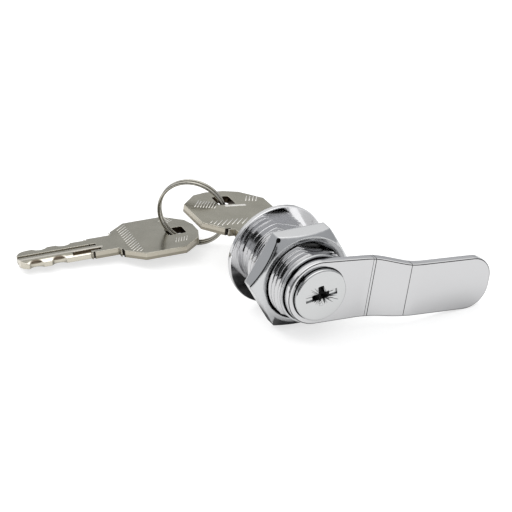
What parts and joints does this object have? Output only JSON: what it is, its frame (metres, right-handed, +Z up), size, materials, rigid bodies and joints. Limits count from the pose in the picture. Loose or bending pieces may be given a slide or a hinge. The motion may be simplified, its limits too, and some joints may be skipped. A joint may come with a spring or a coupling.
{
  "type": "cabinet lock",
  "caption": "Quarter-turn cam lock with a threaded flanged barrel, hex nut, cranked cam, stop washer, wafer plug and two keys on a split ring.",
  "frame": {"origin": "on the lock's axis at the plane of the flange's seat, where it meets the panel's front", "axes": "+Y along the lock's axis out to the key, -Y into the cabinet to the cam, +Z up with the lock lying on a table, +X the way the cam's arm points"},
  "size_m": [0.0967, 0.0753, 0.0256],
  "materials": {
    "housing_chrome": "polished chrome plate on zinc alloy",
    "nut_chrome": "polished chrome plate",
    "plug_chrome": "polished chrome plate on zinc alloy",
    "washer_steel": "bright plated steel",
    "cam_chrome": "polished chrome plate on steel",
    "screw_chrome": "bright plated steel",
    "key_nickel": "satin nickel plate, warm grey",
    "ring_nickel": "nickel plated spring steel",
    "wafer_brass": "plain brass",
    "spring_steel": "spring wire"
  },
  "bodies": {
    "housing": {"housing": "housing_chrome"},
    "nut": {"hex_nut": "nut_chrome"},
    "core": {"plug": "plug_chrome", "stop_washer": "washer_steel", "cam": "cam_chrome", "cam_screw": "screw_chrome", "wafer_spring_1": "spring_steel", "wafer_spring_2": "spring_steel", "wafer_spring_3": "spring_steel", "wafer_spring_4": "spring_steel", "wafer_spring_5": "spring_steel", "wafer_spring_6": "spring_steel"},
    "wafer_1": {"wafer_1": "wafer_brass"},
    "wafer_2": {"wafer_2": "wafer_brass"},
    "wafer_3": {"wafer_3": "wafer_brass"},
    "wafer_4": {"wafer_4": "wafer_brass"},
    "wafer_5": {"wafer_5": "wafer_brass"},
    "wafer_6": {"wafer_6": "wafer_brass"},
    "key": {"lock_key": "key_nickel"},
    "ring": {"key_ring": "ring_nickel"},
    "spare": {"spare_key": "key_nickel"}
  },
  "joints": [
    {"name": "plug_turn", "type": "hinge", "parent": "housing", "child": "core", "pos_m": [0, 0, 0], "axis": [0, -1, 0], "range_deg": [0, 90]},
    {"name": "nut_turn", "type": "hinge", "parent": "housing", "child": "nut", "pos_m": [0, -0.01125, 0], "axis": [0, 1, 0], "continuous": true},
    {"name": "key_pull", "type": "slide", "parent": "core", "child": "key", "axis": [0, 1, 0], "range_m": [0, 0.02]},
    {"name": "ring_turn", "type": "hinge", "parent": "key", "child": "ring", "pos_m": [-0.0062, 0.0352, -0.00347], "axis": [0.6428, 0.766, 0], "range_deg": [-30, 30]},
    {"name": "spare_swing", "type": "hinge", "parent": "ring", "child": "spare", "pos_m": [-0.0062, 0.0352, -0.00347], "axis": [0.6428, 0.766, 0], "range_deg": [-30, 60]},
    {"name": "wafer_1_slide", "type": "slide", "parent": "core", "child": "wafer_1", "axis": [0.9889, 0, -0.1489], "range_m": [0, 0.0008], "deforming": ["wafer_spring_1"]},
    {"name": "wafer_2_slide", "type": "slide", "parent": "core", "child": "wafer_2", "axis": [0.9889, 0, -0.1489], "range_m": [0, 0.0008], "deforming": ["wafer_spring_2"]},
    {"name": "wafer_3_slide", "type": "slide", "parent": "core", "child": "wafer_3", "axis": [0.9889, 0, -0.1489], "range_m": [0, 0.0008], "deforming": ["wafer_spring_3"]},
    {"name": "wafer_4_slide", "type": "slide", "parent": "core", "child": "wafer_4", "axis": [0.9889, 0, -0.1489], "range_m": [0, 0.0008], "deforming": ["wafer_spring_4"]},
    {"name": "wafer_5_slide", "type": "slide", "parent": "core", "child": "wafer_5", "axis": [0.9889, 0, -0.1489], "range_m": [0, 0.0008], "deforming": ["wafer_spring_5"]},
    {"name": "wafer_6_slide", "type": "slide", "parent": "core", "child": "wafer_6", "axis": [0.9889, 0, -0.1489], "range_m": [0, 0.0008], "deforming": ["wafer_spring_6"]}
  ],
  "couplings": [
    {"joint": "wafer_1_slide", "follows": "key_pull", "ratio": 0.04},
    {"joint": "wafer_2_slide", "follows": "key_pull", "ratio": 0.04},
    {"joint": "wafer_3_slide", "follows": "key_pull", "ratio": 0.04},
    {"joint": "wafer_4_slide", "follows": "key_pull", "ratio": 0.04},
    {"joint": "wafer_5_slide", "follows": "key_pull", "ratio": 0.04},
    {"joint": "wafer_6_slide", "follows": "key_pull", "ratio": 0.04}
  ]
}
